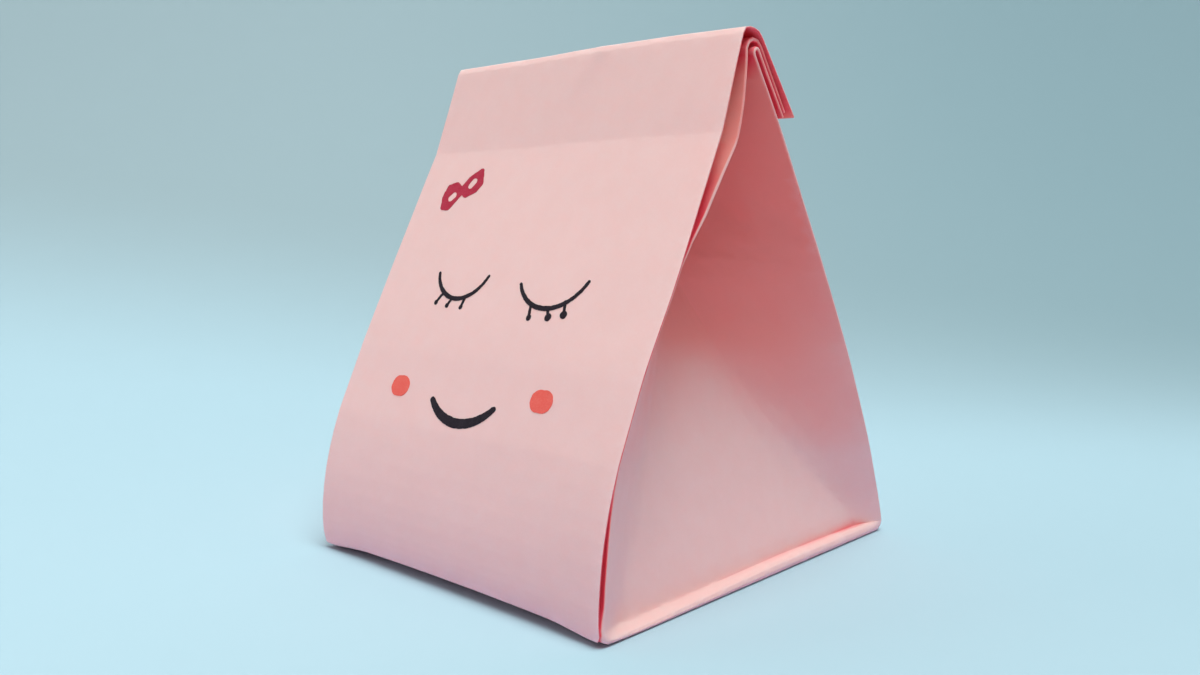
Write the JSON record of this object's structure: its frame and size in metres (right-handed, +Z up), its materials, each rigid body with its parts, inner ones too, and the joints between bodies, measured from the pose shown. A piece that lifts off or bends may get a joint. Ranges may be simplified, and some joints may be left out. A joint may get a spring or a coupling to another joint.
{
  "type": "folded paper gift bag",
  "caption": "Small pillow-shaped gift bag folded from one sheet of paper, with pushed-in sides, a folded base and a mouth turned over to the back. A sleeping face is drawn on the front.",
  "frame": {"origin": "on the ground, in the middle of the bag's outline seen from above", "axes": "+Z up. The front panel with the face is towards -Y and the turned flap towards +Y. The glued lap lies behind the front's edge at +X"},
  "size_m": [0.0442, 0.0568, 0.0592],
  "materials": {
    "paper": "matte",
    "dark_ink": "matte",
    "orange_red_ink": "matte",
    "crimson_ink": "matte"
  },
  "bodies": {
    "root": {"bag": "paper", "eyes_and_smile": "dark_ink", "cheeks": "orange_red_ink", "bow": "crimson_ink"}
  },
  "joints": []
}
